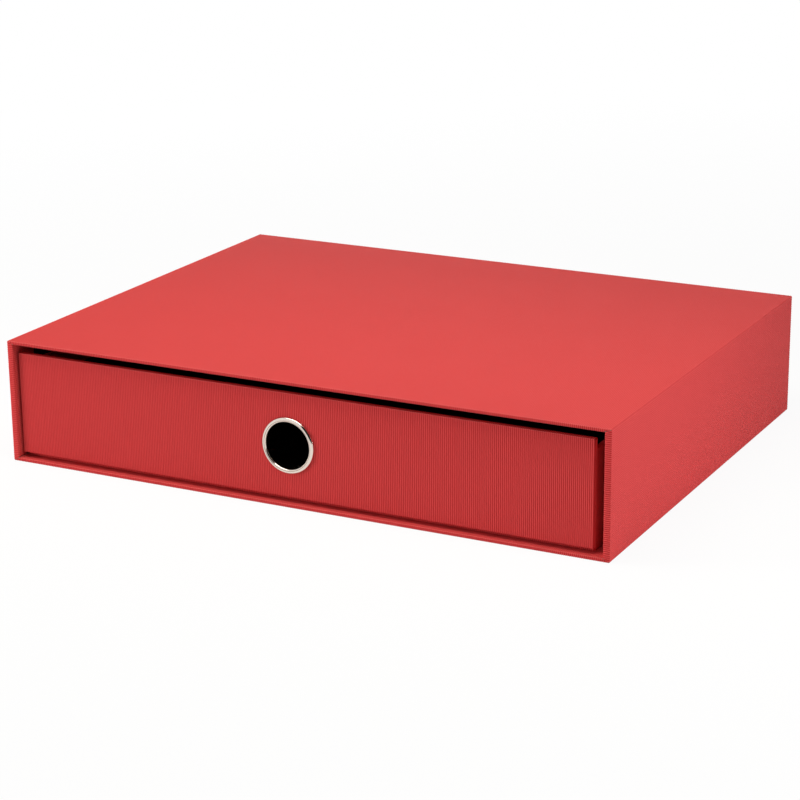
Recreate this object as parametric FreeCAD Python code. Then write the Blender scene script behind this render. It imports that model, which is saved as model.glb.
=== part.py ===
import FreeCAD, Part
import os

# A drawer box for papers, built the way covered-board boxes are: greyboard walls glued into an
# open-fronted sleeve and a tray, wrapped in ribbed cover paper outside, lined with black paper
# inside, and a stiff front panel held to the tray by a metal finger ring.
# Millimetres. X is to the right, Y to the back, Z up. The origin is the middle of the underside.

# ---------------------------------------------------------------- driving dimensions
width = 335.0                # over the sleeve
depth = 255.0
height = 65.0

paper = 0.3                  # cover paper and lining paper alike
fold_radius = 0.5            # outside of the cover paper where it bends round a board's edge

side_board = 3.0             # the sleeve's two thick side walls
top_board = 1.4
base_board = 1.5
back_board = 2.0
mouth_turn_in = 18.0         # cover paper carried into the sleeve's mouth
sleeve_flap = 14.0           # cover paper carried round onto the back and the underside

panel_board = 2.7            # the stiff front of the drawer
panel_gap_above = 4.7        # sleeve's mouth to the panel's top edge
panel_gap_below = 2.5
panel_side_play = 6.5        # both sides together
panel_shift = -2.1           # the drawer lies to the left in its side play
panel_recess = 2.5           # the closed drawer's front stands back from the sleeve's edge
panel_flap = 8.0             # cover paper turned onto the panel's back
panel_overhang = 1.0         # the panel is this much wider than the tray at each side

tray_rim_drop = 6.1          # the tray's rim lies this much below the panel's top edge
tray_wall = 2.0              # side and back walls
tray_front_wall = 1.5
tray_floor_board = 1.5
tray_turn_down = 12.0        # cover paper carried over the tray's rim
tray_flap = 12.0             # cover paper carried under the tray
tray_floor_clearance = 0.1   # tray's underside to the sleeve's floor
tray_back_clearance = 0.5    # tray's back to the sleeve's back lining, drawer closed

ring_bore = 24.0             # what a finger goes through
ring_wall = 0.5
ring_flange_width = 2.5      # from the bore to the flange's rim
ring_crown = 1.25            # how proud the flange stands
ring_offset = -1.2           # from the middle of the panel
ring_hole_clearance = 0.1    # barrel to the hole in board and paper
dome_runs = 7                # the flange's dome is this many short cones
washer_width = 2.0           # from the bore to the washer's rim
washer_thickness = 0.6
clench_lip = 0.5             # the barrel's end, rolled outward over the washer


# ---------------------------------------------------------------- geometry helpers
class Block:
    """An upright box given by its limits; its insets are what it is lined or filled with."""

    def __init__(self, x0, x1, y0, y1, z0, z1):
        self.x0, self.x1 = x0, x1
        self.y0, self.y1 = y0, y1
        self.z0, self.z1 = z0, z1

    def inset(self, every=0.0, left=0.0, right=0.0, front=0.0, back=0.0, base=0.0, top=0.0):
        """The box with its faces moved inward, all alike or one by one."""
        return Block(
            self.x0 + every + left,
            self.x1 - every - right,
            self.y0 + every + front,
            self.y1 - every - back,
            self.z0 + every + base,
            self.z1 - every - top,
        )

    def limits(self, **changed):
        """The same box with some of its limits put elsewhere."""
        values = {"x0": self.x0, "x1": self.x1, "y0": self.y0, "y1": self.y1}
        values.update({"z0": self.z0, "z1": self.z1})
        values.update(changed)
        return Block(**values)

    def solid(self):
        """The plain box."""
        corner = FreeCAD.Vector(self.x0, self.y0, self.z0)
        return Part.makeBox(self.x1 - self.x0, self.y1 - self.y0, self.z1 - self.z0, corner)

    def folded(self):
        """The box with its edges rounded as cover paper bends round them."""
        box = self.solid()
        return box.makeFillet(fold_radius, box.Edges)


def one_solid(shape):
    """A boolean result with its split faces merged, as the single solid it should be."""
    merged = shape.removeSplitter()
    assert len(merged.Solids) == 1, "a piece came apart"
    return merged.Solids[0]


def solids(blocks):
    """Named blocks made into named solids."""
    return {name: block.solid() for name, block in blocks.items()}


# ---------------------------------------------------------------- the sleeve's spaces
sleeve = Block(-width / 2, width / 2, -depth / 2, depth / 2, 0.0, height)
carcass = sleeve.inset(every=paper)
hollow = carcass.inset(
    left=side_board, right=side_board, top=top_board, base=base_board, back=back_board
)
mouth = hollow.inset(every=paper)

# ---------------------------------------------------------------- the drawer's spaces
panel_middle = (mouth.x0 + mouth.x1) / 2 + panel_shift
panel_width = mouth.x1 - mouth.x0 - panel_side_play
panel_face = sleeve.y0 + panel_recess
panel = Block(
    panel_middle - panel_width / 2,
    panel_middle + panel_width / 2,
    panel_face,
    panel_face + panel_board + 2 * paper,
    mouth.z0 + panel_gap_below,
    mouth.z1 - panel_gap_above,
)
tray = Block(
    panel.x0 + panel_overhang,
    panel.x1 - panel_overhang,
    panel.y1,
    mouth.y1 - tray_back_clearance,
    mouth.z0 + tray_floor_clearance,
    panel.z1 - tray_rim_drop,
)
tray_core = tray.inset(every=paper)
tray_hollow = tray_core.inset(
    left=tray_wall, right=tray_wall, front=tray_front_wall, back=tray_wall, base=tray_floor_board
)
tray_inside = tray_hollow.inset(every=paper)
ring_x = panel_middle + ring_offset
ring_z = (panel.z0 + panel.z1) / 2


# ---------------------------------------------------------------- the sleeve
def sleeve_boards():
    """Top and base lie over and under the side walls; the back closes the rear."""
    walls = carcass.limits(y1=hollow.y1)
    sides = walls.limits(z0=hollow.z0, z1=hollow.z1)
    return solids({
        "sleeve_top_board": walls.limits(z0=hollow.z1),
        "sleeve_base_board": walls.limits(z1=hollow.z0),
        "sleeve_left_board": sides.limits(x1=hollow.x0),
        "sleeve_right_board": sides.limits(x0=hollow.x1),
        "sleeve_back_board": carcass.limits(y0=hollow.y1),
    })


def on_mouth_rim(edge):
    """The four front edges of the mouth, where the cover paper turns inward."""
    box = edge.BoundBox
    tiny = 1e-6
    in_front_plane = abs(box.YMax - sleeve.y0) < tiny
    across = box.XMin > hollow.x0 and box.XMax < hollow.x1
    upright = box.ZMin > hollow.z0 and box.ZMax < hollow.z1
    return in_front_plane and across and upright


def sleeve_skin():
    """All the cover paper as one skin: outside, over the front edges and into the mouth."""
    skin = sleeve.folded().cut(carcass.solid())
    skin = skin.cut(hollow.limits(y0=sleeve.y0, y1=carcass.y0).solid())
    turned_in = {"y0": sleeve.y0, "y1": sleeve.y0 + mouth_turn_in}
    band = hollow.limits(**turned_in).solid().cut(mouth.limits(**turned_in).solid())
    skin = one_solid(skin.fuse(band))
    rim = [edge for edge in skin.Edges if on_mouth_rim(edge)]
    return skin.makeFillet(paper * 0.8, rim)


def corner_wedge(corner, across, along, up):
    """A tetrahedron at a lower corner, whose slanted face holds both mitre lines that meet there."""
    x, y, z = corner
    apex = FreeCAD.Vector(x, y, z)
    foot = FreeCAD.Vector(x + across, y, z)
    rise = FreeCAD.Vector(x + across, y, z + up)
    rear = FreeCAD.Vector(x + across, y + along, z)
    triangles = [(apex, foot, rise), (apex, foot, rear), (foot, rise, rear), (apex, rise, rear)]
    faces = [Part.Face(Part.makePolygon([*corners, corners[0]])) for corners in triangles]
    wedge = Part.Solid(Part.Shell(faces))
    if wedge.Volume < 0:
        wedge.reverse()
    return wedge


def base_zone():
    """Where the base sheet lies: between the flaps, mitred to the wrap at all four corners."""
    s = sleeve
    flap = sleeve_flap
    middle = s.inset(left=flap, right=flap)
    under = middle.limits(z1=mouth.z0)
    behind = middle.limits(y0=carcass.y1 - fold_radius, z1=s.z0 + flap)
    floor_turn_in = mouth.limits(y0=s.y0, y1=s.y0 + mouth_turn_in, z0=hollow.z0, z1=mouth.z0)
    zone = under.solid().fuse([behind.solid(), floor_turn_in.solid()])
    side_turn_ins = hollow.limits(y0=carcass.y0).solid().cut(mouth.limits(y0=carcass.y0).solid())
    front_slope = (mouth.z0 - s.z0) / (mouth.x0 - s.x0)
    for x, inward in ((s.x0, flap), (s.x1, -flap)):
        front = corner_wedge((x, s.y0, s.z0), inward, flap, flap * front_slope)
        rear = corner_wedge((x, s.y1, s.z0), inward, -flap, flap)
        zone = zone.fuse([front.cut(side_turn_ins), rear])
    return zone


def sleeve_covers():
    """The wrap over both sides and the top, the base sheet, and the sheet let into the back."""
    flap = sleeve_flap
    rear = sleeve.limits(y0=carcass.y1)
    back_sheet = rear.inset(left=flap, right=flap, base=flap, top=flap).solid()
    skin = sleeve_skin()
    base_sheet = skin.common(base_zone())
    return {
        "sleeve_wrap": one_solid(skin.cut([base_sheet, back_sheet])),
        "sleeve_base_sheet": one_solid(base_sheet),
        "sleeve_back_sheet": back_sheet,
    }


def sleeve_linings():
    """Black paper on every inner wall, from the turned-in cover paper to the back."""
    lined = hollow.limits(y0=sleeve.y0 + mouth_turn_in)
    sides = lined.limits(y1=mouth.y1, z0=mouth.z0, z1=mouth.z1)
    return solids({
        "sleeve_top_lining": lined.limits(z0=mouth.z1),
        "sleeve_floor_lining": lined.limits(z1=mouth.z0),
        "sleeve_left_lining": sides.limits(x1=mouth.x0),
        "sleeve_right_lining": sides.limits(x0=mouth.x1),
        "sleeve_back_lining": lined.limits(y0=mouth.y1, z0=mouth.z0, z1=mouth.z1),
    })


# ---------------------------------------------------------------- the drawer
def finger_hole():
    """The round hole through the panel and the tray's front wall, clear of the ring's barrel."""
    radius = ring_bore / 2 + ring_wall + ring_hole_clearance
    start = FreeCAD.Vector(ring_x, sleeve.y0, ring_z)
    return Part.makeCylinder(radius, tray_inside.y0 - sleeve.y0 + paper, start, FreeCAD.Vector(0, 1, 0))


def panel_pieces():
    """A board wrapped in cover paper, with a backing sheet let in between the turned-in edges."""
    flap = panel_flap
    board = panel.inset(every=paper)
    backing = panel.limits(y0=board.y1).inset(left=flap, right=flap, base=flap, top=flap).solid()
    cover = panel.folded().cut([board.solid(), backing])
    hole = finger_hole()
    return {
        "panel_board": one_solid(board.solid().cut(hole)),
        "panel_cover": one_solid(cover.cut(hole)),
        "panel_backing": one_solid(backing.cut(hole)),
    }


def tray_boards():
    """Side walls run the whole depth, front and back stand between them, the floor inside all."""
    between = tray_core.limits(x0=tray_hollow.x0, x1=tray_hollow.x1)
    boards = solids({
        "tray_left_board": tray_core.limits(x1=tray_hollow.x0),
        "tray_right_board": tray_core.limits(x0=tray_hollow.x1),
        "tray_front_board": between.limits(y1=tray_hollow.y0),
        "tray_back_board": between.limits(y0=tray_hollow.y1),
        "tray_floor_board": tray_hollow.limits(z0=tray_core.z0, z1=tray_hollow.z0),
    })
    boards["tray_front_board"] = one_solid(boards["tray_front_board"].cut(finger_hole()))
    return boards


def tray_covers():
    """One band of cover paper round the walls, over the rim and under the floor; a base sheet."""
    flap = tray_flap
    turned_down = {"z0": tray.z1 - tray_turn_down, "z1": tray.z1}
    band = tray_hollow.limits(**turned_down).solid().cut(tray_inside.limits(**turned_down).solid())
    skin = tray.folded().cut(tray_core.solid())
    skin = skin.cut(tray_hollow.limits(z0=tray_core.z1, z1=tray.z1).solid()).fuse(band)
    under = tray.limits(z1=tray_core.z0)
    base_sheet = under.inset(left=flap, right=flap, front=flap, back=flap).solid()
    return {
        "tray_cover": one_solid(skin.cut([base_sheet, finger_hole()])),
        "tray_base_sheet": base_sheet,
    }


def tray_linings():
    """Black paper on the floor and up the walls to where the turned-over cover paper ends."""
    space = tray_hollow.limits(z1=tray.z1 - tray_turn_down)
    walls = space.limits(z0=tray_inside.z0)
    between = walls.limits(x0=tray_inside.x0, x1=tray_inside.x1)
    linings = solids({
        "tray_floor_lining": space.limits(z1=tray_inside.z0),
        "tray_left_lining": walls.limits(x1=tray_inside.x0),
        "tray_right_lining": walls.limits(x0=tray_inside.x1),
        "tray_front_lining": between.limits(y1=tray_inside.y0),
        "tray_back_lining": between.limits(y0=tray_inside.y1),
    })
    linings["tray_front_lining"] = one_solid(linings["tray_front_lining"].cut(finger_hole()))
    return linings


# ---------------------------------------------------------------- the finger ring
def turned(outline, y):
    """A closed half-section of (radius, y) points, turned about the hole's axis."""
    points = [FreeCAD.Vector(radius, along, 0) for radius, along in outline]
    section = Part.Face(Part.makePolygon(points + points[:1]))
    ring = section.revolve(FreeCAD.Vector(0, 0, 0), FreeCAD.Vector(0, 1, 0), 360)
    ring.translate(FreeCAD.Vector(ring_x, y, ring_z))
    return ring


def dome(start, top, end):
    """The arc through three (radius, y) points as short runs, a narrow cone each when turned."""
    arc = Part.Arc(*[FreeCAD.Vector(radius, along, 0) for radius, along in (start, top, end)])
    return [(point.x, point.y) for point in arc.toShape().discretize(dome_runs + 1)]


def finger_ring():
    """A domed flange on the panel, a barrel through panel and tray wall, its end rolled outward."""
    bore = ring_bore / 2
    barrel = bore + ring_wall
    rim = bore + ring_flange_width
    crown = barrel + (rim - barrel) * 0.55
    groove = 0.3
    rear = tray_inside.y0 + washer_thickness - panel.y0
    lip = barrel + clench_lip
    end = rear + ring_wall
    outline = [
        *dome((rim, 0), (crown, -ring_crown), (barrel, -groove)),
        (bore, -groove * 1.4),
        (bore, rear),
        (lip, end),
        (lip, rear),
        (barrel, rear),
        (barrel, 0),
    ]
    return turned(outline, panel.y0)


def ring_washer():
    """The flat washer that the rolled end of the barrel holds against the tray's lining."""
    inner = ring_bore / 2 + ring_wall + ring_hole_clearance
    outer = ring_bore / 2 + washer_width
    thick = washer_thickness
    ease = thick / 4
    outline = [
        (inner, 0),
        (outer, 0),
        (outer, thick - ease),
        (outer - ease, thick),
        (inner, thick),
    ]
    return turned(outline, tray_inside.y0)


# ---------------------------------------------------------------- all the pieces
pieces = {
    **sleeve_boards(),
    **sleeve_covers(),
    **sleeve_linings(),
    **panel_pieces(),
    **tray_boards(),
    **tray_covers(),
    **tray_linings(),
    "finger_ring": finger_ring(),
    "ring_washer": ring_washer(),
}

os.makedirs("parts", exist_ok=True)
for name, piece in pieces.items():
    piece.exportStep(os.path.join("parts", name + ".step"))
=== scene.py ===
"""File box with drawer: ribbed cover paper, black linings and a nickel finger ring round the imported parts.

Everything is in metres, in the frame of the parts: +Z up, the drawer opening towards -Y.
"""

import logging
import math
from collections.abc import Callable
from dataclasses import dataclass, replace
from enum import Enum

import bmesh
import bpy
from mathutils import Euler, Matrix, Vector


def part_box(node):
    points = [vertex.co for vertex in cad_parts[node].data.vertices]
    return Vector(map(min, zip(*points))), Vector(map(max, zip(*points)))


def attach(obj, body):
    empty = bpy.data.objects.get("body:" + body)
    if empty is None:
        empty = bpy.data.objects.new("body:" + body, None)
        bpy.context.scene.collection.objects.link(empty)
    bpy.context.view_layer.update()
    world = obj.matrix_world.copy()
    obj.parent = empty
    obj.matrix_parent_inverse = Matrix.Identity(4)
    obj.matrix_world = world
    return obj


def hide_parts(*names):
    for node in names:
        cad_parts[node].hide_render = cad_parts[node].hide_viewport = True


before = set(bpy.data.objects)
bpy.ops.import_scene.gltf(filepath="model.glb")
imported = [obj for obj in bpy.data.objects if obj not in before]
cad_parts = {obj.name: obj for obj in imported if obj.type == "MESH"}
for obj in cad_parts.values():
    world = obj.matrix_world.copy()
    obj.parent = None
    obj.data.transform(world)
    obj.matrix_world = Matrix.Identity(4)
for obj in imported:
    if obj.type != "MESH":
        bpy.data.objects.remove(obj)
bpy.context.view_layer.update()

MM = 0.001
X = Vector((1, 0, 0))
Y = Vector((0, 1, 0))
Z = Vector((0, 0, 1))
Point = tuple[float, float, float]

# Points nearer than TOUCH are one point, and a cut takes in points nearer than CUT_EXACT (metres).
TOUCH = 0.002 * MM
CUT_EXACT = 1e-7
SMOOTH_BELOW = math.radians(40)
RING_SIDES = 128
WHITE = "#FFFFFF"

# The Mix node's colours and its mixed colour, which Blender tells apart only by number.
COLOUR_A, COLOUR_B, MIXED = 6, 7, 2

# What the cover paper's material reads from its points. The groove share sets the painted shade in
# the grooves: 1 at the bottom of a groove, under CREST on a rib's crest and 0.5 on average. The fold
# share sets the wear and the painted highlight on folds: 1 in the middle of a worn fold.
GROOVE_SHADE = "groove"
FOLD_WEAR_AND_HIGHLIGHT = "fold"
MEAN_GROOVE_SHADE = 0.5
CREST = 0.01

# How far a point's normal leans away from its nearest axis (1 less its largest part) where a fold
# starts to be paled by wear and a painted highlight and where it is fully so, and the most that such a
# fold may lean sideways.
FLAT_LEAN = 0.08
FOLD_LEAN = 0.14
SIDE_LEAN = 0.3

log = logging.getLogger("file_box")


# ---------------------------------------------------------------- places and sizes
def middle_of(low: float, high: float) -> float:
    """The middle of two numbers."""
    return (low + high) / 2


@dataclass(frozen=True)
class Box:
    """A box in space, by its lowest and highest place along each axis."""

    x0: float
    x1: float
    y0: float
    y1: float
    z0: float
    z1: float

    @classmethod
    def of(cls, node: str) -> "Box":
        """The box round a CAD node.

        Args:
            node: the node's name.

        Returns:
            Its box at rest, in metres.
        """
        low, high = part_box(node)
        return cls(low.x, high.x, low.y, high.y, low.z, high.z)

    def holds(self, point: Vector) -> bool:
        """Whether a point lies in the box or touches it."""
        return (
            self.x0 - TOUCH <= point.x <= self.x1 + TOUCH
            and self.y0 - TOUCH <= point.y <= self.y1 + TOUCH
            and self.z0 - TOUCH <= point.z <= self.z1 + TOUCH
        )

    def inset(self, by: float) -> "Box":
        """The box drawn in on all six sides."""
        return Box(
            self.x0 + by, self.x1 - by, self.y0 + by, self.y1 - by, self.z0 + by, self.z1 - by
        )

    def middle(self) -> Vector:
        """The middle of the box."""
        return Vector(
            (middle_of(self.x0, self.x1), middle_of(self.y0, self.y1), middle_of(self.z0, self.z1))
        )


@dataclass(frozen=True)
class Seat:
    """Where a strip of paper starts: its corner, the way it runs, and the way its good side faces."""

    corner: Vector
    along: Vector
    outward: Vector

    @property
    def across(self) -> Vector:
        """The way the strip's width goes, square to its run."""
        return self.along.cross(self.outward)

    def turn(self) -> Euler:
        """The turn that lays a flat primitive on this seat."""
        return Matrix((self.across, self.along, self.outward)).transposed().to_euler()


@dataclass(frozen=True)
class RibbedSheet:
    """The cover paper as a sheet: how thick it is, its embossed ribs, and how it folds.

    The ribs have their real pitch. The seam is the gap left where two cut edges meet.
    """

    thickness: float = 0.3 * MM
    rib_pitch: float = 1.0 * MM
    rib_height: float = 0.2 * MM
    runs_per_rib: int = 4
    fold_radius: float = 0.5 * MM
    fold_steps: int = 3
    seam: float = 0.16 * MM

    def ribs_in(self, width: float) -> int:
        """How many whole ribs fit a width."""
        return max(1, round(width / self.rib_pitch))

    def wall(self) -> float:
        """The thickness of the ribbed skin: the grooves' backs then just reach the board."""
        return self.thickness - self.rib_height


class Part(Enum):
    """What is picked on a mesh."""

    POINTS = 0
    EDGES = 1
    FACES = 2


# ---------------------------------------------------------------- the bench
def wear_and_highlight_share(point: bmesh.types.BMVert) -> float:
    """How far round a fold a point lies that is paled by rubbing and by a painted highlight: one that runs
    across the box and looks up.

    Args:
        point: a point of a box-shaped skin.

    Returns:
        The share, from how far the skin there leans away from every axis: 1 in the middle of the
        fold, and 0 on a flat face and on every other fold.
    """
    if point.normal.z <= 0 or abs(point.normal.x) > SIDE_LEAN:
        return 0.0
    lean = 1 - max(abs(part) for part in point.normal)
    return min(1.0, max(0.0, (lean - FLAT_LEAN) / (FOLD_LEAN - FLAT_LEAN)))


def deselect_all() -> None:
    """Leaves object mode with nothing selected."""
    if bpy.context.object and bpy.context.object.mode != "OBJECT":
        bpy.ops.object.mode_set(mode="OBJECT")
    bpy.ops.object.select_all(action="DESELECT")


class Bench:
    """One mesh in edit mode, shaped by picking parts of it and working on what is picked."""

    def __init__(self, name: str, sheet: RibbedSheet) -> None:
        """Lays out an empty mesh.

        Args:
            name: the finished piece's name.
            sheet: the paper that its strips are cut from.
        """
        deselect_all()
        bpy.ops.object.add(type="MESH")
        self.piece = bpy.context.object
        self.piece.name = name
        self.sheet = sheet
        for name_of_value in (GROOVE_SHADE, FOLD_WEAR_AND_HIGHLIGHT):
            self.piece.data.attributes.new(name_of_value, "FLOAT", "POINT")
        bpy.ops.object.mode_set(mode="EDIT")

    def mark(self, name: str, value: Callable[[bmesh.types.BMVert], float]) -> None:
        """Writes a value on every picked point, for the material to read.

        Args:
            name: the attribute that holds it.
            value: gives the value of one point.
        """
        shape = bmesh.from_edit_mesh(self.piece.data)
        layer = shape.verts.layers.float[name]
        for point in shape.verts:
            if point.select:
                point[layer] = value(point)
        bmesh.update_edit_mesh(self.piece.data)

    def pick(self, part: Part, rule: Callable[[Vector], bool]) -> int:
        """Selects what shows and lies wholly where a rule allows.

        Args:
            part: points, edges or faces.
            rule: says of a place whether it counts.

        Returns:
            How many were picked.
        """
        bpy.ops.mesh.select_all(action="DESELECT")
        bpy.context.tool_settings.mesh_select_mode = tuple(part.value == i for i in range(3))
        shape = bmesh.from_edit_mesh(self.piece.data)
        inside = {v.index for v in shape.verts if not v.hide and rule(v.co)}
        picked = 0
        if part is Part.POINTS:
            for point in shape.verts:
                if point.index in inside:
                    point.select_set(True)
                    picked += 1
        else:
            for item in shape.edges if part is Part.EDGES else shape.faces:
                if not item.hide and all(v.index in inside for v in item.verts):
                    item.select_set(True)
                    picked += 1
        shape.select_flush_mode()
        bmesh.update_edit_mesh(self.piece.data)
        return picked

    def strip(self, seat: Seat, width: float, runs: tuple[float, ...]) -> None:
        """Lays one ribbed strip, folded away from its good side after each run but the last.

        Args:
            seat: where the first run starts.
            width: its width, across the ribs.
            runs: the flat lengths between folds, along the ribs.
        """
        paper = self.sheet
        ribs = paper.ribs_in(width)
        columns = ribs * paper.runs_per_rib
        across, along, outward = seat.across, seat.along, seat.outward
        middle = seat.corner + across * (width / 2) + along * (runs[0] / 2)
        size = across * width + along * runs[0] + outward
        bpy.ops.mesh.reveal(select=False)
        bpy.ops.mesh.select_all(action="DESELECT")
        bpy.ops.mesh.primitive_grid_add(
            x_subdivisions=columns, y_subdivisions=1, size=1.0, location=middle, rotation=seat.turn()
        )
        bpy.ops.transform.resize(value=[abs(value) for value in size], center_override=middle)
        bpy.ops.mesh.hide(unselected=True)
        self._emboss(seat, width / columns)
        edge = seat.corner + along * runs[0]
        self.pick(Part.EDGES, lambda place: (place - edge).dot(along) > -TOUCH)
        for run in runs[1:]:
            centre = edge - outward * paper.fold_radius
            bpy.ops.mesh.spin(
                steps=paper.fold_steps, angle=math.pi / 2, center=centre, axis=across
            )
            edge = centre + along * paper.fold_radius
            along, outward = -outward, along
            bpy.ops.mesh.extrude_edges_move(TRANSFORM_OT_translate={"value": along * run})
            edge = edge + along * run

    def _emboss(self, seat: Seat, step: float) -> None:
        """Presses the grooves into a fresh strip, a whole number of ribs across it, and marks their painted
        shade.

        Args:
            seat: where the strip lies.
            step: the width of one of its columns.
        """
        columns = self.sheet.runs_per_rib

        def column_of(place: Vector) -> int:
            """Which column of its rib a point belongs to."""
            return round((place - seat.corner).dot(seat.across) / step) % columns

        for column in range(columns):
            share = (1 + math.cos(2 * math.pi * column / columns)) / 2
            if share > CREST:
                self.pick(Part.POINTS, lambda place: column_of(place) == column)
                # The same share sets how much painted shade the groove gets.
                self.mark(GROOVE_SHADE, lambda point: share)
                bpy.ops.transform.translate(value=-seat.outward * self.sheet.rib_height * share)

    def trim(self, region: Box, point: Vector, waste: Vector, exact: bool = False) -> None:
        """Cuts the strip in hand along a plane, a hair inside it, so that a fine seam shows.

        Args:
            region: only faces wholly in this box are cut.
            point: a point of the plane.
            waste: the way to what falls off.
            exact: cuts on the plane itself, where the strip's corner joins another.
        """
        self.pick(Part.FACES, region.holds)
        away = waste.normalized()
        edge = point - away * (0 if exact else self.sheet.seam / 2)
        bpy.ops.mesh.bisect(plane_co=edge, plane_no=away, clear_outer=True, threshold=CUT_EXACT)

    def mitre(
        self, fold: Vector, turn: Vector, way_in: Vector, waste: Vector, flat: Box, inside: Box
    ) -> None:
        """Cuts the end of a strip that turns in over a rim, along the rim's face and then inside it.

        Args:
            fold: the corner of the rim's outer folds.
            turn: the corner of its inner folds.
            way_in: the way into the opening.
            waste: roughly the way to what falls off.
            flat: the box that holds the faces on the rim.
            inside: the box that holds the inner fold and the turned-in paper.
        """
        side = (fold - turn).cross(way_in)
        if side.dot(waste) < 0:
            side = -side
        self.trim(flat, fold, side)
        self.trim(inside, turn, waste)

    def score(self, region: Box, point: Vector, normal: Vector) -> None:
        """Divides the faces wholly in a box along a plane and leaves both sides."""
        self.pick(Part.FACES, region.holds)
        bpy.ops.mesh.bisect(plane_co=point, plane_no=normal, threshold=CUT_EXACT)

    def round_over(self, edges: Box, centre: Vector, start: Vector, end: Vector) -> None:
        """Carries edges round a quarter turn, which rounds an edge or a corner of the box.

        Args:
            edges: the box that holds the edges to carry.
            centre: a point of the axis.
            start: the way from the axis to the edges.
            end: the way from the axis to where they end.
        """
        bpy.ops.mesh.reveal(select=False)
        if not self.pick(Part.EDGES, edges.holds):
            raise ValueError(f"{self.piece.name}: no edge to round in {edges}")
        bpy.ops.mesh.spin(
            steps=self.sheet.fold_steps, angle=math.pi / 2, center=centre, axis=end.cross(start)
        )
        bpy.ops.mesh.select_all(action="SELECT")
        bpy.ops.mesh.remove_doubles(threshold=TOUCH)

    def mirror(self, middle: float) -> None:
        """Adds the other half of a piece, handed the other way.

        Args:
            middle: the place along X of the plane between the halves.
        """
        bpy.ops.mesh.reveal(select=False)
        bpy.ops.mesh.select_all(action="SELECT")
        bpy.ops.mesh.duplicate(mode=1)
        bpy.ops.transform.resize(value=(-1, 1, 1), center_override=(middle, 0, 0))

    def finish(self, heart: Vector) -> bpy.types.Object:
        """Joins the strips into one skin, faces it outwards and gives it the paper's thickness.

        Args:
            heart: a point that the skin's largest face looks away from.

        Returns:
            The finished piece.
        """
        bpy.ops.mesh.reveal(select=False)
        bpy.ops.mesh.select_all(action="SELECT")
        bpy.ops.mesh.remove_doubles(threshold=TOUCH)
        bpy.ops.mesh.delete_loose(use_faces=False)
        bpy.ops.mesh.select_all(action="SELECT")
        bpy.ops.mesh.normals_make_consistent(inside=False)
        shape = bmesh.from_edit_mesh(self.piece.data)
        largest = max(shape.faces, key=lambda face: face.calc_area())
        if largest.normal.dot(largest.calc_center_median() - heart) < 0:
            bpy.ops.mesh.flip_normals()
        # Marks the folds that look up for their wear and a painted highlight.
        self.mark(FOLD_WEAR_AND_HIGHLIGHT, wear_and_highlight_share)
        bpy.ops.object.mode_set(mode="OBJECT")
        wall = self.piece.modifiers.new("paper", "SOLIDIFY")
        wall.thickness = self.sheet.wall()
        wall.offset = -1
        bpy.ops.object.modifier_apply(modifier=wall.name)
        bpy.ops.object.shade_smooth_by_angle(angle=SMOOTH_BELOW)
        return self.piece


def bore(piece: bpy.types.Object, centre: Vector, radius: float, depth: float) -> None:
    """Cuts a round hole through a piece, front to back.

    Args:
        piece: what is cut.
        centre: the middle of the hole.
        radius: the hole's radius.
        depth: how far the cutter reaches, half of it each way.
    """
    deselect_all()
    bpy.ops.mesh.primitive_cylinder_add(
        vertices=RING_SIDES, radius=radius, depth=depth, location=centre, rotation=(math.pi / 2, 0, 0)
    )
    cutter = bpy.context.object
    deselect_all()
    bpy.context.view_layer.objects.active = piece
    piece.select_set(True)
    cut = piece.modifiers.new("bore", "BOOLEAN")
    cut.object = cutter
    bpy.ops.object.modifier_apply(modifier=cut.name)
    bpy.data.objects.remove(cutter)


def turned(name: str, axis: Vector, outline: list[tuple[float, float]]) -> bpy.types.Object:
    """Turns a closed outline about an axis along Y: a circle is carried from point to point of it.

    Args:
        name: the piece's name.
        axis: a point of the axis, whose Y is where the outline's own zero lies.
        outline: (radius, way back from the axis point) of each corner, in order.

    Returns:
        The turned piece.
    """
    deselect_all()
    radius, back = outline[0]
    bpy.ops.mesh.primitive_circle_add(
        vertices=RING_SIDES, radius=radius, location=axis + Y * back, rotation=(math.pi / 2, 0, 0)
    )
    piece = bpy.context.object
    piece.name = name
    bpy.ops.object.transform_apply(location=True, rotation=True, scale=True)
    bpy.ops.object.mode_set(mode="EDIT")
    bpy.ops.mesh.select_all(action="SELECT")
    for next_radius, next_back in [*outline[1:], outline[0]]:
        bpy.ops.mesh.extrude_edges_move(TRANSFORM_OT_translate={"value": Y * (next_back - back)})
        grow = next_radius / radius
        bpy.ops.transform.resize(value=(grow, 1, grow), center_override=axis)
        radius, back = next_radius, next_back
    bpy.ops.mesh.select_all(action="SELECT")
    bpy.ops.mesh.remove_doubles(threshold=TOUCH)
    bpy.ops.mesh.normals_make_consistent(inside=False)
    bpy.ops.object.mode_set(mode="OBJECT")
    bpy.ops.object.shade_smooth_by_angle(angle=SMOOTH_BELOW)
    return piece


# ---------------------------------------------------------------- finishes
def linear(hex_colour: str) -> tuple[float, float, float, float]:
    """An sRGB hex colour as the linear colour that Blender's sockets take.

    Args:
        hex_colour: six hex digits after a hash.

    Returns:
        Red, green, blue and full alpha.
    """
    shares = [int(hex_colour[i : i + 2], 16) / 255 for i in (1, 3, 5)]
    curve = [s / 12.92 if s <= 0.04045 else ((s + 0.055) / 1.055) ** 2.4 for s in shares]
    return (*curve, 1.0)


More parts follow.
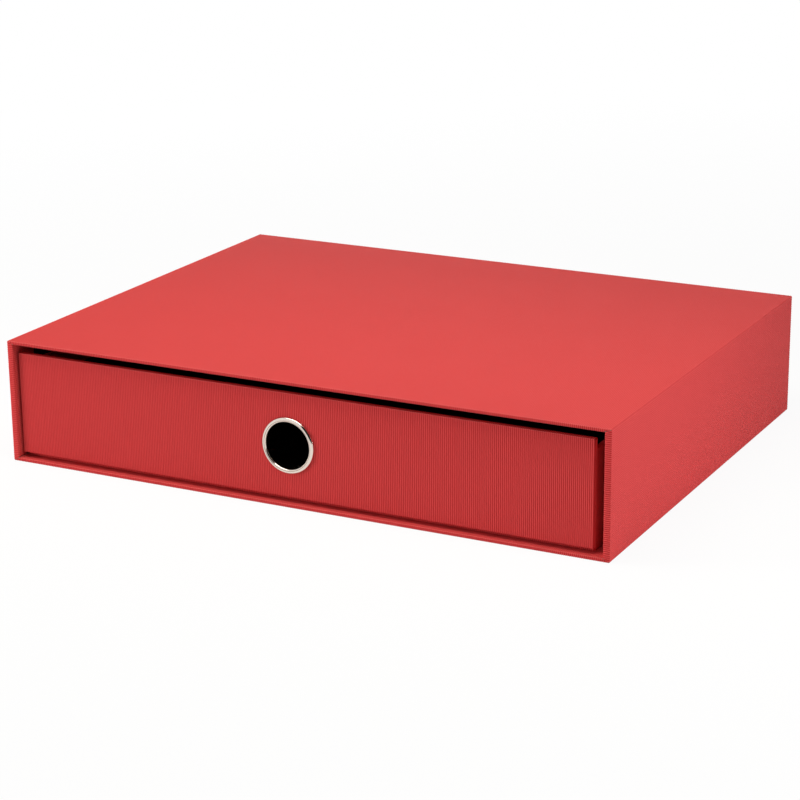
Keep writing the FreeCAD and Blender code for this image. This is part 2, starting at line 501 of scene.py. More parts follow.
def add_node(
    tree: bpy.types.NodeTree,
    kind: str,
    settings: dict[str | int, object],
    links: dict[str | int, bpy.types.NodeSocket],
) -> bpy.types.Node:
    """Adds one node with its settings and links.

    Args:
        tree: the node tree that it joins.
        kind: Blender's name for the kind of node.
        settings: properties by name, and socket values by the socket's name or number.
        links: sockets that feed it, by the input's name or number.

    Returns:
        The new node.
    """
    node = tree.nodes.new(kind)
    for name, value in settings.items():
        if isinstance(name, str) and hasattr(node, name):
            setattr(node, name, value)
        else:
            node.inputs[name].default_value = value
    for name, source in links.items():
        tree.links.new(source, node.inputs[name])
    return node


def new_material(
    name: str,
) -> tuple[bpy.types.Material, bpy.types.NodeTree, bpy.types.Node, bpy.types.NodeSocket]:
    """Starts a material with a bare Principled shader.

    Args:
        name: the material's name.

    Returns:
        The material, its node tree, its shader and the Object coordinates.
    """
    material = bpy.data.materials.new(name)
    material.use_nodes = True
    tree = material.node_tree
    tree.nodes.clear()
    shader = add_node(tree, "ShaderNodeBsdfPrincipled", {}, {})
    add_node(tree, "ShaderNodeOutputMaterial", {}, {"Surface": shader.outputs[0]})
    place = add_node(tree, "ShaderNodeTexCoord", {}, {}).outputs["Object"]
    return material, tree, shader, place


@dataclass(frozen=True)
class RibbedCoverPaper:
    """Uncoated paper dyed red in the pulp and ribbed between rollers: matt, with a soft fibrous grain.

    The grooves carry painted shade, darker than real paper is there, so that ribs of 1 mm show, and folds
    that look up are paler from wear and a painted highlight. The fibres, really about 0.1 mm, are drawn
    nine times as coarse, so that they show at all. The clouds are the uneven dye.
    """

    dye: str = "#D94E4F"
    deep: str = "#D24849"
    # painted shade at the bottom of the grooves
    groove: str = "#AE1F22"
    # the folds' real wear together with a painted highlight
    wear_and_highlight: str = "#E66F6C"
    fibre: str = "#DA5252"
    cloud_size: float = 35 * MM
    fibre_size: float = 0.9 * MM
    relief: float = 0.03 * MM
    relief_strength: float = 0.25
    roughness: float = 0.8
    gloss: float = 0.15

    def material(self) -> bpy.types.Material:
        """Builds the material: clouds in the dye, painted shade in the grooves, folds paled by wear and a
        painted highlight, and a fine grain.

        Returns:
            The material.
        """
        material, tree, shader, place = new_material("dyed_ribbed_paper")
        clouds = add_node(
            tree, "ShaderNodeTexNoise", {"Scale": 1 / self.cloud_size, "Detail": 3.0}, {"Vector": place}
        )
        grain = add_node(
            tree, "ShaderNodeTexNoise", {"Scale": 1 / self.fibre_size, "Detail": 3.0}, {"Vector": place}
        )
        groove = add_node(tree, "ShaderNodeAttribute", {"attribute_name": GROOVE_SHADE}, {})
        fold = add_node(tree, "ShaderNodeAttribute", {"attribute_name": FOLD_WEAR_AND_HIGHLIGHT}, {})
        coloured = add_node(
            tree,
            "ShaderNodeMix",
            {"data_type": "RGBA", COLOUR_A: linear(self.deep), COLOUR_B: linear(self.dye)},
            {"Factor": clouds.outputs["Fac"]},
        )
        # The grain is the paper's own; the groove colour is painted shade, the fold colour wear with a
        # painted highlight.
        for share, colour in ((grain, self.fibre), (groove, self.groove), (fold, self.wear_and_highlight)):
            coloured = add_node(
                tree,
                "ShaderNodeMix",
                {"data_type": "RGBA", COLOUR_B: linear(colour)},
                {"Factor": share.outputs["Fac"], COLOUR_A: coloured.outputs[MIXED]},
            )
        relief = add_node(
            tree,
            "ShaderNodeBump",
            {"Strength": self.relief_strength, "Distance": self.relief},
            {"Height": grain.outputs["Fac"]},
        )
        shader.inputs["Roughness"].default_value = self.roughness
        shader.inputs["Specular IOR Level"].default_value = self.gloss
        tree.links.new(coloured.outputs[MIXED], shader.inputs["Base Color"])
        tree.links.new(relief.outputs[0], shader.inputs["Normal"])
        return material


@dataclass(frozen=True)
class BlackLiningPaper:
    """Black lining paper dyed in the pulp, glued down smooth: nearly even, with fine paler fibres.

    The fibres, really about 0.1 mm, are drawn coarser so that they show.
    """

    black: str = "#1A1919"
    fibre: str = "#262424"
    fibre_size: float = 1.2 * MM
    relief: float = 0.03 * MM
    relief_strength: float = 0.3
    roughness: float = 0.75

    def material(self) -> bpy.types.Material:
        """Builds the material: fibres a shade lighter than the black, and a faint relief.

        Returns:
            The material.
        """
        material, tree, shader, place = new_material("black_lining_paper_dyed")
        fibres = add_node(
            tree, "ShaderNodeTexNoise", {"Scale": 1 / self.fibre_size, "Detail": 4.0}, {"Vector": place}
        )
        coloured = add_node(
            tree,
            "ShaderNodeMix",
            {"data_type": "RGBA", COLOUR_A: linear(self.black), COLOUR_B: linear(self.fibre)},
            {"Factor": fibres.outputs["Fac"]},
        )
        relief = add_node(
            tree,
            "ShaderNodeBump",
            {"Strength": self.relief_strength, "Distance": self.relief},
            {"Height": fibres.outputs["Fac"]},
        )
        shader.inputs["Roughness"].default_value = self.roughness
        tree.links.new(coloured.outputs[MIXED], shader.inputs["Base Color"])
        tree.links.new(relief.outputs[0], shader.inputs["Normal"])
        return material


@dataclass(frozen=True)
class Greyboard:
    """Board pressed from waste paper: warm grey and dull, flecked with darker fibres.

    The flecks are shreds of paper of about 1 to 2 mm. They show where the noise is between
    fleck_from and fleck_full.
    """

    grey: str = "#9A948A"
    fleck: str = "#6F6A62"
    fleck_size: float = 1.5 * MM
    fleck_from: float = 0.55
    fleck_full: float = 0.75
    roughness: float = 0.9

    def material(self) -> bpy.types.Material:
        """Builds the material: sparse flecks over an even grey.

        Returns:
            The material.
        """
        material, tree, shader, place = new_material("pressed_greyboard")
        flecks = add_node(
            tree, "ShaderNodeTexNoise", {"Scale": 1 / self.fleck_size, "Detail": 6.0}, {"Vector": place}
        )
        sparse = add_node(
            tree,
            "ShaderNodeMapRange",
            {"From Min": self.fleck_from, "From Max": self.fleck_full},
            {"Value": flecks.outputs["Fac"]},
        )
        coloured = add_node(
            tree,
            "ShaderNodeMix",
            {"data_type": "RGBA", COLOUR_A: linear(self.grey), COLOUR_B: linear(self.fleck)},
            {"Factor": sparse.outputs[0]},
        )
        shader.inputs["Roughness"].default_value = self.roughness
        tree.links.new(coloured.outputs[MIXED], shader.inputs["Base Color"])
        return material


@dataclass(frozen=True)
class PolishedNickel:
    """Nickel plate on a pressed steel ring, buffed bright: a warm grey mirror with faint buffing haze.

    The haze is the size of a buffing mark. It moves the colour a little, and the roughness between
    bright and dull.
    """

    metal: str = "#E6D8CD"
    shade: str = "#DED0C5"
    haze_size: float = 2.5 * MM
    bright: float = 0.10
    dull: float = 0.20

    def material(self) -> bpy.types.Material:
        """Builds the material: a mirror whose roughness wanders a little.

        Returns:
            The material.
        """
        material, tree, shader, place = new_material("buffed_nickel_plate")
        haze = add_node(
            tree, "ShaderNodeTexNoise", {"Scale": 1 / self.haze_size, "Detail": 2.0}, {"Vector": place}
        )
        gloss = add_node(
            tree,
            "ShaderNodeMapRange",
            {"To Min": self.bright, "To Max": self.dull},
            {"Value": haze.outputs["Fac"]},
        )
        coloured = add_node(
            tree,
            "ShaderNodeMix",
            {"data_type": "RGBA", COLOUR_A: linear(self.metal), COLOUR_B: linear(self.shade)},
            {"Factor": haze.outputs["Fac"]},
        )
        shader.inputs["Metallic"].default_value = 1.0
        tree.links.new(coloured.outputs[MIXED], shader.inputs["Base Color"])
        tree.links.new(gloss.outputs[0], shader.inputs["Roughness"])
        return material


class Finish(Enum):
    """The four finishes, each by the record's name for its material slot."""

    COVER = "ribbed_cover_paper"
    LINING = "black_lining_paper"
    BOARD = "greyboard"
    METAL = "polished_nickel"


class Paintbox:
    """One material for each finish, made once and shared."""

    def __init__(self) -> None:
        """Makes the four materials."""
        self.materials = {
            Finish.COVER: RibbedCoverPaper().material(),
            Finish.LINING: BlackLiningPaper().material(),
            Finish.BOARD: Greyboard().material(),
            Finish.METAL: PolishedNickel().material(),
        }

    def dress_nodes(self) -> None:
        """Gives every CAD node the material of its slot."""
        by_slot = {finish.value: material for finish, material in self.materials.items()}
        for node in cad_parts.values():
            for slot in node.material_slots:
                slot.material = by_slot[slot.material.name.split(".")[0]]

    def dress(self, piece: bpy.types.Object, finish: Finish, body: str, nodes: list[str]) -> None:
        """Gives a finished piece its material and its place in the assembly.

        Args:
            piece: the new piece.
            finish: what it is made of.
            body: the body that it rides on.
            nodes: the CAD nodes that it stands for.
        """
        piece.data.materials.clear()
        piece.data.materials.append(self.materials[finish])
        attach(piece, body)
        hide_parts(*nodes)
        log.info("%s: %d faces, rides on %s", piece.name, len(piece.data.polygons), body)


# ---------------------------------------------------------------- the sleeve
@dataclass
class SleeveCovers:
    """The sleeve's three sheets: the wrap, the base sheet and the sheet let into the back.

    The tones are the share of the grooves' painted shade that is left on the broad faces, at the front
    and at the rear.
    """

    sheet: RibbedSheet
    body: str = "sleeve"
    front_groove_shade: float = 0.45
    rear_groove_shade: float = 0.25

    def __post_init__(self) -> None:
        """Reads the sleeve's outline, mouth and back sheet, and names the regions of its right half."""
        self.outer = Box.of("sleeve_wrap")
        self.core = self.outer.inset(self.sheet.fold_radius)
        self.back = Box.of("sleeve_back_sheet")
        self.flap = self.outer.x1 - self.back.x1
        top, floor = Box.of("sleeve_top_lining"), Box.of("sleeve_floor_lining")
        left, right = Box.of("sleeve_left_lining"), Box.of("sleeve_right_lining")
        self.mouth = Box(left.x1, right.x0, self.outer.y0, top.y0, floor.z1, top.z0)
        o, c, m = self.outer, self.core, self.mouth
        radius, rib = self.sheet.fold_radius, self.sheet.rib_height
        half = replace(o, x0=0)
        inside = replace(half, y1=m.y1)
        self.rim = replace(half, y1=o.y0 + rib)
        self.behind = replace(half, y0=o.y1 - rib)
        self.beneath = replace(half, y0=c.y0, y1=c.y1, z1=o.z0 + rib)
        self.under_top = replace(inside, z0=m.z1, z1=m.z1 + radius)
        self.by_side = replace(inside, x0=m.x1, x1=m.x1 + radius)
        self.on_floor = replace(inside, z0=m.z0 - radius, z1=m.z0)
        self.top_fold = Vector((c.x1, c.y0, c.z1))
        self.base_fold = Vector((c.x1, c.y0, c.z0))
        self.top_turn = Vector((m.x1 + radius, c.y0, m.z1 + radius))
        self.base_turn = Vector((m.x1 + radius, c.y0, m.z0 - radius))

    def runs(self, rim: float) -> tuple[float, ...]:
        """The runs of a strip from its flap on the back to its end inside the mouth.

        Args:
            rim: how thick the wall looks from the front.

        Returns:
            Flap, outside, rim and turn-in, each without its folds.
        """
        radius, core = self.sheet.fold_radius, self.core
        return (self.flap - radius, core.y1 - core.y0, rim - 2 * radius, self.mouth.y1 - core.y0)

    def wrap(self) -> bpy.types.Object:
        """One sheet over both sides and the top, modelled as its right half and mirrored.

        Returns:
            The finished sheet.
        """
        bench = Bench("sleeve_wrap_paper", self.sheet)
        o, c, m, flap = self.outer, self.core, self.mouth, self.flap
        bench.strip(Seat(Vector((c.x1, o.y1, o.z1 - flap)), Z, Y), c.x1, self.runs(o.z1 - m.z1))
        bench.trim(self.behind, self.top_fold, X - Z)
        bench.mitre(self.top_fold, self.top_turn, Y, X - Z, self.rim, self.under_top)
        side = Seat(Vector((o.x1 - flap, o.y1, c.z0)), X, Y)
        bench.strip(side, c.z1 - c.z0, self.runs(o.x1 - m.x1))
        bench.trim(self.behind, self.top_fold, Z - X)
        bench.trim(self.behind, self.base_fold, -Z - X)
        bench.mitre(self.top_fold, self.top_turn, Y, Z - X, self.rim, self.by_side)
        bench.mitre(self.base_fold, self.base_turn, Y, -Z - X, self.rim, self.by_side)
        under = Seat(Vector((o.x1 - flap, c.y1, o.z0)), -Y, -Z)
        bench.strip(under, flap - self.sheet.fold_radius, (c.y1 - c.y0,))
        bench.trim(self.beneath, self.base_fold, -X - Y, exact=True)
        bench.trim(self.beneath, self.base_fold + Y * (c.y1 - c.y0), Y - X, exact=True)
        bench.round_over(Box(c.x1, o.x1, c.y0, c.y1, c.z0, c.z0), self.base_fold, X, -Z)
        bench.round_over(Box(c.x1, c.x1, c.y0, c.y1, c.z1, o.z1), self.top_fold, Z, X)
        for y, out in ((c.y0, -Y), (c.y1, Y)):
            pole = Vector((c.x1, y, 0))
            bench.round_over(Box(c.x1, o.x1, y, y, c.z1, o.z1), pole, X, out)
            bench.round_over(Box(c.x1, o.x1, y, y, o.z0, c.z0), pole, X, out)
        bench.mirror(0)
        return bench.finish(o.middle())

    def base_sheet(self) -> bpy.types.Object:
        """The underside's sheet, between the wrap's flaps and mitred to them at its four corners.

        Returns:
            The finished sheet.
        """
        bench = Bench("sleeve_base_paper", self.sheet)
        o, c, m, flap = self.outer, self.core, self.mouth, self.flap
        bench.strip(Seat(Vector((0, o.y1, o.z0 + flap)), -Z, Y), c.x1, self.runs(m.z0 - o.z0))
        bench.trim(self.behind, self.base_fold, X + Z)
        bench.mitre(self.base_fold, self.base_turn, Y, X + Z, self.rim, self.on_floor)
        front_end, rear_end = o.y0 + flap, o.y1 - flap
        bench.score(self.beneath, Y * front_end, Y)
        bench.score(self.beneath, Y * rear_end, Y)
        bench.trim(replace(self.beneath, y0=front_end, y1=rear_end), X * self.back.x1, X)
        bench.trim(replace(self.beneath, y1=front_end), self.base_fold, X + Y)
        bench.trim(replace(self.beneath, y0=rear_end), Vector((c.x1, c.y1, 0)), X - Y)
        bench.mirror(0)
        return bench.finish(o.middle())

    def back_sheet(self) -> bpy.types.Object:
        """The plain rectangle that fills the back between the flaps.

        Returns:
            The finished sheet.
        """
        bench = Bench("sleeve_back_paper", self.sheet)
        b = self.back
        bench.strip(Seat(Vector((b.x1, b.y1, b.z0)), Z, Y), b.x1 - b.x0, (b.z1 - b.z0,))
        return bench.finish(self.outer.middle())

    def soften_groove_shade(self, piece: bpy.types.Object) -> None:
        """Lightens the painted shade in the grooves of the broad faces, more towards the rear; the rims keep
        theirs.

        Args:
            piece: one of the three sheets.
        """
        front, rear = self.core.y0 - TOUCH, self.core.y1
        for point, value in zip(piece.data.vertices, piece.data.attributes[GROOVE_SHADE].data):
            if point.co.y > front:
                way_back = min(1.0, (point.co.y - front) / (rear - front))
                value.value *= self.front_groove_shade + (self.rear_groove_shade - self.front_groove_shade) * way_back

    def build(self, paints: Paintbox) -> None:
        """Models the three sheets and dresses them.

        Args:
            paints: the finished materials.
        """
        nodes = ("sleeve_wrap", "sleeve_base_sheet", "sleeve_back_sheet")
        for piece, node in zip((self.wrap(), self.base_sheet(), self.back_sheet()), nodes):
            self.soften_groove_shade(piece)
            paints.dress(piece, Finish.COVER, self.body, [node])


# ---------------------------------------------------------------- the finger ring
@dataclass
class FingerRing:
    """The ring in the finger hole and the washer that its rolled end holds.

    The cutter is what bores the hole through the panel's cover and the tray's front wall.
    """

    body: str = "drawer"
    flange_width: float = 2.5 * MM
    barrel_wall: float = 0.5 * MM
    clearance: float = 0.1 * MM
    lip_width: float = 0.9 * MM
    lip_drop: float = 0.08 * MM
    groove_width: float = 0.2 * MM
    groove_depth: float = 0.35 * MM
    roll_width: float = 0.5 * MM
    washer_ease: float = 0.15 * MM
    washer_corner: float = 0.045 * MM
    cutter_length: float = 12 * MM
    dome_steps: int = 14
    lip_steps: int = 10

    def __post_init__(self) -> None:
        """Reads the ring's middle, its size and its length from the frame."""
        self.ring, self.washer = Box.of("finger_ring"), Box.of("ring_washer")
        face = Box.of("panel_cover")
        middle = self.ring.middle()
        self.axis = Vector((middle.x, face.y0, middle.z))
        self.rim = (self.ring.x1 - self.ring.x0) / 2
        self.bore = self.rim - self.flange_width
        self.hole = self.bore + self.barrel_wall + self.clearance
        self.crown = face.y0 - self.ring.y0
        self.back = self.washer.y1 - face.y0
        self.end = self.ring.y1 - face.y0

    def quarter(
        self, foot: float, crown: float, height: float, steps: int
    ) -> list[tuple[float, float]]:
        """A quarter ellipse of the outline, from its foot on the panel up to its crown.

        Args:
            foot: the radius of the foot.
            crown: the radius of the crown.
            height: how far the crown stands out in front.
            steps: how many straight runs it is made of.

        Returns:
            (radius, way back) of each corner.
        """
        turns = [math.pi / 2 * step / steps for step in range(steps + 1)]
        return [(crown + (foot - crown) * math.cos(turn), -height * math.sin(turn)) for turn in turns]

    def flange(self) -> bpy.types.Object:
        """The domed flange, a fine groove, the lip, the barrel and its end rolled over the washer.

        Returns:
            The ring.
        """
        barrel = self.bore + self.barrel_wall
        groove, half = self.bore + self.lip_width, self.groove_width / 2
        dome = self.quarter(self.rim, groove + half, self.crown, self.dome_steps)
        lip = self.quarter(self.bore, groove - half, self.crown - self.lip_drop, self.lip_steps)
        roll, ease = barrel + self.roll_width, self.roll_width / 5
        outline = [
            *dome,
            (groove, self.groove_depth - self.crown),
            *reversed(lip),
            (self.bore, self.back),
            (self.bore + ease, self.back + 3 * ease),
            (barrel, self.end),
            (roll - ease, self.end - ease),
            (roll, self.back + ease),
            (roll - ease, self.back),
            (barrel, self.back),
            (barrel, 0.0),
        ]
        return turned("finger_ring_nickel", self.axis, outline)

    def flat_washer(self) -> bpy.types.Object:
        """The flat washer, its rear rim eased in two steps.

        Returns:
            The washer.
        """
        outer = (self.washer.x1 - self.washer.x0) / 2
        front, rear = self.washer.y0 - self.axis.y, self.washer.y1 - self.axis.y
        ease, corner = self.washer_ease, self.washer_corner
        outline = [
            (self.hole, front),
            (outer, front),
            (outer, rear - ease),
            (outer - corner, rear - corner),
            (outer - ease, rear),
            (self.hole, rear),
        ]
        return turned("ring_washer_nickel", self.axis, outline)

    def build(self, paints: Paintbox) -> None:
        """Models the ring and the washer and dresses them.

        Args:
            paints: the finished materials.
        """
        paints.dress(self.flange(), Finish.METAL, self.body, ["finger_ring"])
        paints.dress(self.flat_washer(), Finish.METAL, self.body, ["ring_washer"])


# ---------------------------------------------------------------- the drawer
@dataclass
class PanelCover:
    """The cover paper of the front panel, its ribs upright, turned onto the panel's back all round.

    The painted shade in the grooves has left_groove_shade of its contrast at the left end, and all of it
    from full_from of the way to the right.
    """

    sheet: RibbedSheet
    ring: FingerRing
    body: str = "drawer"
    left_groove_shade: float = 0.3
    full_from: float = 0.7

    def __post_init__(self) -> None:
        """Reads the cover's outline from the frame."""
        self.outer = Box.of("panel_cover")
        self.core = self.outer.inset(self.sheet.fold_radius)

    def cover(self) -> bpy.types.Object:
        """The right half, wrapped round the panel's height and round its end, and mirrored.

        Returns:
            The cover, without its finger hole.
        """
        bench = Bench("panel_cover_paper", self.sheet)
        p, c, backing = self.outer, self.core, Box.of("panel_backing")
        radius, rib = self.sheet.fold_radius, self.sheet.rib_height
        middle = p.middle().x
        flap, deep, high = p.z1 - backing.z1 - radius, c.y1 - c.y0, c.z1 - c.z0
        top, base = Vector((c.x1, c.y0, c.z1)), Vector((c.x1, c.y0, c.z0))
        behind = replace(p, x0=middle, y0=p.y1 - rib)
        above = replace(behind, z0=middle_of(c.z0, c.z1))
        below = replace(behind, z1=above.z0)
        rear = Vector((c.x1, c.y1, 0))
        bench.strip(Seat(Vector((p.x1, c.y0, c.z0)), Z, X), deep, (high,))
        bench.strip(Seat(Vector((c.x1, p.y1, c.z0)), Z, Y), flap, (high,))
        bench.trim(behind, top, Z - X, exact=True)
        bench.trim(behind, base, -Z - X, exact=True)
        bench.round_over(Box(p.x1 - rib, p.x1, c.y1, c.y1, c.z0, c.z1), rear, X, Y)
        seat = Seat(Vector((c.x1, p.y1, backing.z1)), Z, Y)
        bench.strip(seat, c.x1 - middle, (flap, deep, high, deep, flap))
        bench.trim(above, top, X - Z)
        bench.trim(below, base, X + Z)
        bench.round_over(Box(c.x1, c.x1, p.y0, p.y0 + rib, c.z0, c.z1), base, -Y, X)
        for z, out in ((c.z1, Z), (c.z0, -Z)):
            low, high_z = min(z, z + out.z * radius), max(z, z + out.z * radius)
            corner = Vector((c.x1, c.y0, z))
            bench.round_over(Box(c.x1, c.x1, c.y0, c.y1, low, high_z), corner, out, X)
            bench.round_over(Box(c.x1, p.x1, p.y0, c.y0, z, z), corner, -Y, out)
            bench.round_over(Box(c.x1, p.x1, c.y1, p.y1, z, z), rear + Z * z, Y, out)
        bench.mirror(middle)
        return bench.finish(p.middle())

    def shade_grooves_round_hole(self, piece: bpy.types.Object) -> None:
        """Carries the grooves' painted shade on to the points that the finger hole's edge added.

        Args:
            piece: the bored cover.
        """
        end, middle = self.core.x1, self.outer.middle().x
        rib = (end - middle) / self.sheet.ribs_in(end - middle)
        rim = self.ring.hole + TOUCH
        for point, value in zip(piece.data.vertices, piece.data.attributes[GROOVE_SHADE].data):
            out = point.co - self.ring.axis
            if math.hypot(out.x, out.z) < rim:
                place = (end - middle - abs(point.co.x - middle)) / rib % 1
                value.value = abs(1 - 2 * place)

    def even_out_groove_shade(self, piece: bpy.types.Object) -> None:
        """Brings the painted shade in the grooves nearer its average towards the left end.

        Args:
            piece: the bored cover.
        """
        left, right = self.outer.x0, self.outer.x1
        for point, value in zip(piece.data.vertices, piece.data.attributes[GROOVE_SHADE].data):
            way_right = (point.co.x - left) / (right - left)
            tone = min(1.0, self.left_groove_shade + (1 - self.left_groove_shade) * way_right / self.full_from)
            value.value = MEAN_GROOVE_SHADE + (value.value - MEAN_GROOVE_SHADE) * tone

    def build(self, paints: Paintbox) -> None:
        """Models the cover, cuts the hole and dresses it.

        Args:
            paints: the finished materials.
        """
        piece = self.cover()
        bore(piece, self.ring.axis, self.ring.hole, self.ring.cutter_length)
        self.shade_grooves_round_hole(piece)
        self.even_out_groove_shade(piece)
        paints.dress(piece, Finish.COVER, self.body, ["panel_cover"])


@dataclass
class TrayCover:
    """The band of cover paper round the tray: from under the floor, up the walls and over the rim."""

    sheet: RibbedSheet
    ring: FingerRing
    body: str = "drawer"

    def cover(self) -> bpy.types.Object:
        """The right half, three walls of it, mirrored.

        Returns:
            The band, without the hole in its front wall.
        """
        bench = Bench("tray_cover_paper", self.sheet)
        t, base = Box.of("tray_cover"), Box.of("tray_base_sheet")
        radius, rib = self.sheet.fold_radius, self.sheet.rib_height
        c = t.inset(radius)
        right, front = Box.of("tray_right_lining"), Box.of("tray_front_lining")
        rear = Box.of("tray_back_lining")
        inner = Box(t.x0, right.x0, front.y1, rear.y0, right.z1, t.z1)
        middle = t.middle().x
        flap, high, down = t.x1 - base.x1 - radius, c.z1 - c.z0, c.z1 - inner.z0
        half = replace(t, x0=middle)
        under, rim = replace(half, z1=t.z0 + rib), replace(half, z0=t.z1 - rib)
        turned_in = replace(half, z0=inner.z0)
        by_right = replace(turned_in, x0=inner.x1, x1=inner.x1 + radius)
        by_front = replace(turned_in, y0=inner.y0 - radius, y1=inner.y0)
        by_rear = replace(turned_in, y0=inner.y1, y1=inner.y1 + radius)
        front_fold, rear_fold = Vector((c.x1, c.y0, 0)), Vector((c.x1, c.y1, 0))
        front_turn = Vector((inner.x1 + radius, inner.y0 - radius, 0))
        rear_turn = Vector((inner.x1 + radius, inner.y1 + radius, 0))
        runs = (flap, high, t.x1 - inner.x1 - 2 * radius, down)
        bench.strip(Seat(Vector((base.x1, c.y0, t.z0)), X, -Z), c.y1 - c.y0, runs)
        bench.trim(under, front_fold, -X - Y)
        bench.trim(under, rear_fold, Y - X)
        bench.mitre(front_fold, front_turn, Z, -X - Y, rim, by_right)
        bench.mitre(rear_fold, rear_turn, Z, Y - X, rim, by_right)
        front_corner, rear_corner = Vector((middle, base.y0, t.z0)), Vector((c.x1, base.y1, t.z0))
        for corner, out, wall, fold, turn, inside in (
            (front_corner, -Y, inner.y0 - t.y0, front_fold, front_turn, by_front),
            (rear_corner, Y, t.y1 - inner.y1, rear_fold, rear_turn, by_rear),
        ):
            runs = (flap, high, wall - 2 * radius, down)
            bench.strip(Seat(corner, out, -Z), c.x1 - middle, runs)
            bench.trim(under, fold, X - out)
            bench.mitre(fold, turn, Z, X - out, rim, inside)
        for y, out in ((c.y0, -Y), (c.y1, Y)):
            far = y + out.y * radius
            near, off = min(y, far), max(y, far)
            bench.round_over(Box(t.x1 - rib, t.x1, y, y, c.z0, c.z1), Vector((c.x1, y, 0)), X, out)
            for z, up in ((c.z0, -Z), (c.z1, Z)):
                bench.round_over(Box(c.x1, t.x1, near, off, z, z), Vector((c.x1, y, z)), X, up)
        bench.mirror(middle)
        return bench.finish(Vector((middle, 0, 0)))

    def build(self, paints: Paintbox) -> None:
        """Models the band, cuts the hole through its front wall and dresses it.

        Args:
            paints: the finished materials.
        """
        piece = self.cover()
        bore(piece, self.ring.axis, self.ring.hole, self.ring.cutter_length)
        paints.dress(piece, Finish.COVER, self.body, ["tray_cover"])


# ---------------------------------------------------------------- the studio
@dataclass(frozen=True)
class SoftBox:
    """A rectangular lamp: its place, what it faces, its width and height, and its watts.

    The gel is the colour of its light. A lamp that isn't mirrored lights but shows in no gloss.
    """

    name: str
    place: Point
    target: Point
    size: tuple[float, float]
    watts: float
    gel: str = WHITE
    mirrored: bool = True


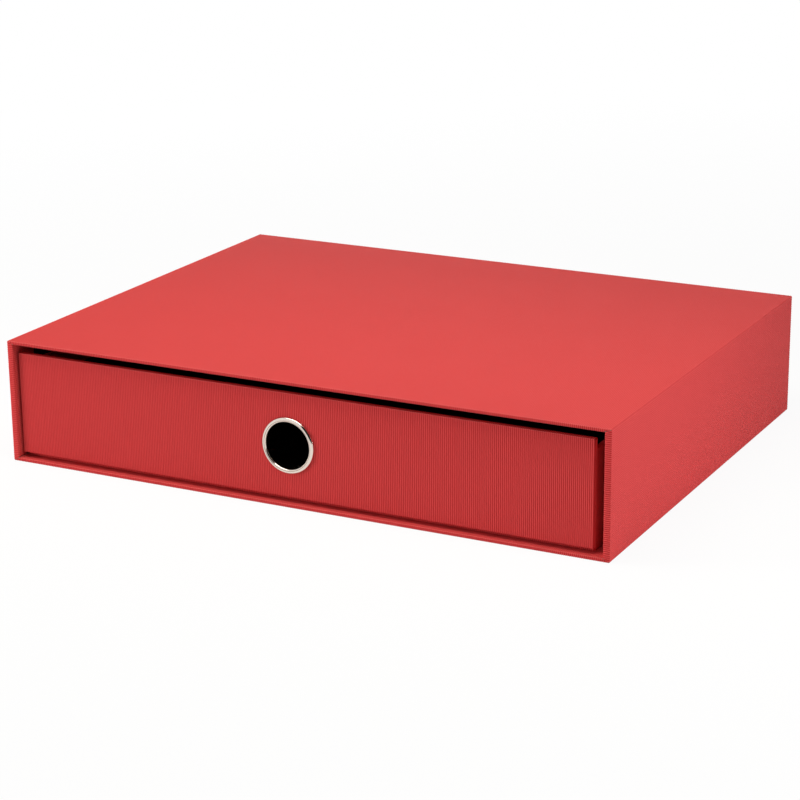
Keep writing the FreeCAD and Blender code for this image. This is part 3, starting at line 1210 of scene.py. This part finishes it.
@dataclass
class Studio:
    """The camera, the soft lamps, the pale floor and the white surroundings.

    To the eye, floor_glow of the floor's colour is plain white where the shadow falls, and all of it
    from floor_fades on. The change starts at shadow_ends. Both are metres from the middle.
    """

    azimuth: float = math.radians(27.514)
    elevation: float = math.radians(17.671)
    roll: float = math.radians(0.603)
    place: Point = (0.5499, -1.0683, 0.4021)
    lens: float = 106.38
    sensor: float = 36.0
    near: float = 0.01
    fill: float = 0.2
    floor_size: float = 8.0
    floor_paint: str = "#EEEEEE"
    floor_glow: float = 0.93
    shadow_ends: float = 0.3
    floor_fades: float = 1.0
    flag_black: str = "#050505"
    lamps: tuple[SoftBox, ...] = (
        SoftBox("overhead", (-0.04, -0.18, 0.63), (0, 0, 0.03), (0.56, 0.28), 3.25, "#FFF8EA"),
        SoftBox("front_left", (-1.3, -0.75, 0.35), (0, 0, 0.03), (0.5, 0.5), 17.5, mirrored=False),
        SoftBox("right", (0.57, -0.095, 0.17), (0.1675, -0.085, 0.03), (0.12, 0.28), 1.1),
        SoftBox("left_rear", (-0.7, 0.95, 0.18), (0, 0, 0.03), (0.5, 0.5), 4.5),
    )
    flag_corners: tuple[Point, ...] = (
        (0.10, -0.81, 0.0),
        (0.60, 0.22, 0.07),
        (-0.03, -0.81, 0.18),
        (0.29, 0.20, 0.58),
    )

    def camera(self) -> None:
        """Sets up the camera from its place, its bearing and its lens."""
        flat = math.cos(self.elevation)
        back = Vector(
            (math.sin(self.azimuth) * flat, -math.cos(self.azimuth) * flat, math.sin(self.elevation))
        )
        level = Z.cross(back).normalized()
        up = back.cross(level)
        right = level * math.cos(self.roll) - up * math.sin(self.roll)
        above = up * math.cos(self.roll) + level * math.sin(self.roll)
        data = bpy.data.cameras.new("view")
        data.lens = self.lens
        data.sensor_width = self.sensor
        data.clip_start = self.near
        camera = bpy.data.objects.new("view", data)
        bpy.context.scene.collection.objects.link(camera)
        turn = Matrix((right, above, back)).transposed()
        camera.matrix_world = Matrix.Translation(self.place) @ turn.to_4x4()
        bpy.context.scene.camera = camera

    def lamp(self, box: SoftBox) -> None:
        """Hangs one soft box and turns it to its target.

        Args:
            box: the lamp's place, target, size and output.
        """
        data = bpy.data.lights.new(box.name, "AREA")
        data.shape = "RECTANGLE"
        data.size, data.size_y = box.size
        data.energy = box.watts
        data.color = linear(box.gel)[:3]
        lamp = bpy.data.objects.new(box.name, data)
        bpy.context.scene.collection.objects.link(lamp)
        turn = (Vector(box.place) - Vector(box.target)).to_track_quat("Z", "Y")
        lamp.matrix_world = Matrix.Translation(box.place) @ turn.to_matrix().to_4x4()
        lamp.visible_camera = False
        lamp.visible_glossy = box.mirrored

    def white_to_the_eye(self, tree: bpy.types.NodeTree) -> bpy.types.NodeSocket:
        """Tells the rays that should find the surroundings white from those that carry light.

        Args:
            tree: the node tree that asks.

        Returns:
            A socket that is 1 for rays from the camera, off a gloss or through glass, and else 0.
        """
        path = add_node(tree, "ShaderNodeLightPath", {}, {})
        reflected = add_node(
            tree,
            "ShaderNodeMath",
            {"operation": "MAXIMUM"},
            {0: path.outputs["Is Glossy Ray"], 1: path.outputs["Is Transmission Ray"]},
        )
        seen = add_node(
            tree,
            "ShaderNodeMath",
            {"operation": "MAXIMUM"},
            {0: path.outputs["Is Camera Ray"], 1: reflected.outputs[0]},
        )
        return seen.outputs[0]

    def world(self) -> None:
        """White to the eye, and a soft even fill for the light."""
        world = bpy.data.worlds.new("studio")
        bpy.context.scene.world = world
        world.use_nodes = True
        tree = world.node_tree
        tree.nodes.clear()
        white = add_node(tree, "ShaderNodeBackground", {"Color": linear(WHITE)}, {})
        fill = add_node(
            tree, "ShaderNodeBackground", {"Color": linear(WHITE), "Strength": self.fill}, {}
        )
        mixed = add_node(
            tree,
            "ShaderNodeMixShader",
            {},
            {0: self.white_to_the_eye(tree), 1: fill.outputs[0], 2: white.outputs[0]},
        )
        add_node(tree, "ShaderNodeOutputWorld", {}, {"Surface": mixed.outputs[0]})

    def floor(self) -> None:
        """A pale floor that shows nearly white, keeps the object's shadow and fades to white far out."""
        deselect_all()
        bpy.ops.mesh.primitive_plane_add(size=self.floor_size)
        floor = bpy.context.object
        floor.name = "studio_floor"
        material = bpy.data.materials.new("pale_floor")
        material.use_nodes = True
        tree = material.node_tree
        tree.nodes.clear()
        place = add_node(tree, "ShaderNodeTexCoord", {}, {}).outputs["Object"]
        far = add_node(tree, "ShaderNodeVectorMath", {"operation": "LENGTH"}, {"Vector": place})
        white = add_node(
            tree,
            "ShaderNodeMapRange",
            {
                "From Min": self.shadow_ends,
                "From Max": self.floor_fades,
                "To Min": self.floor_glow,
            },
            {"Value": far.outputs["Value"]},
        )
        share = add_node(
            tree,
            "ShaderNodeMath",
            {"operation": "MULTIPLY"},
            {0: self.white_to_the_eye(tree), 1: white.outputs[0]},
        )
        paint = add_node(tree, "ShaderNodeBsdfDiffuse", {"Color": linear(self.floor_paint)}, {})
        glow = add_node(tree, "ShaderNodeEmission", {"Color": linear(WHITE)}, {})
        mixed = add_node(
            tree,
            "ShaderNodeMixShader",
            {},
            {0: share.outputs[0], 1: paint.outputs[0], 2: glow.outputs[0]},
        )
        add_node(tree, "ShaderNodeOutputMaterial", {}, {"Surface": mixed.outputs[0]})
        floor.data.materials.append(material)

    def flag(self) -> None:
        """Hangs a black card beside the overhead lamp. It shows only in reflections, as in the ring."""
        deselect_all()
        bpy.ops.mesh.primitive_plane_add(size=1.0)
        card = bpy.context.object
        card.name = "studio_flag"
        for point, place in zip(card.data.vertices, self.flag_corners):
            point.co = place
        material = bpy.data.materials.new("black_card")
        material.use_nodes = True
        shader = material.node_tree.nodes["Principled BSDF"]
        shader.inputs["Base Color"].default_value = linear(self.flag_black)
        shader.inputs["Roughness"].default_value = 1.0
        card.data.materials.append(material)
        card.visible_camera = False
        card.visible_diffuse = False
        card.visible_shadow = False

    def build(self) -> None:
        """Sets up the camera, the floor, the world, the lamps and the black card."""
        scene = bpy.context.scene
        scene.view_settings.view_transform = "Standard"
        self.camera()
        self.floor()
        self.world()
        for box in self.lamps:
            self.lamp(box)
        self.flag()


# ---------------------------------------------------------------- the whole box
def main() -> None:
    """Builds the sub-assemblies in order and reports each piece."""
    logging.basicConfig(level=logging.INFO, format="%(name)s: %(message)s")
    paints = Paintbox()
    paints.dress_nodes()
    sheet = RibbedSheet()
    ring = FingerRing()
    SleeveCovers(sheet).build(paints)
    PanelCover(sheet, ring).build(paints)
    TrayCover(replace(sheet, fold_steps=2), ring).build(paints)
    ring.build(paints)
    Studio().build()


if __name__ == "__main__":
    main()
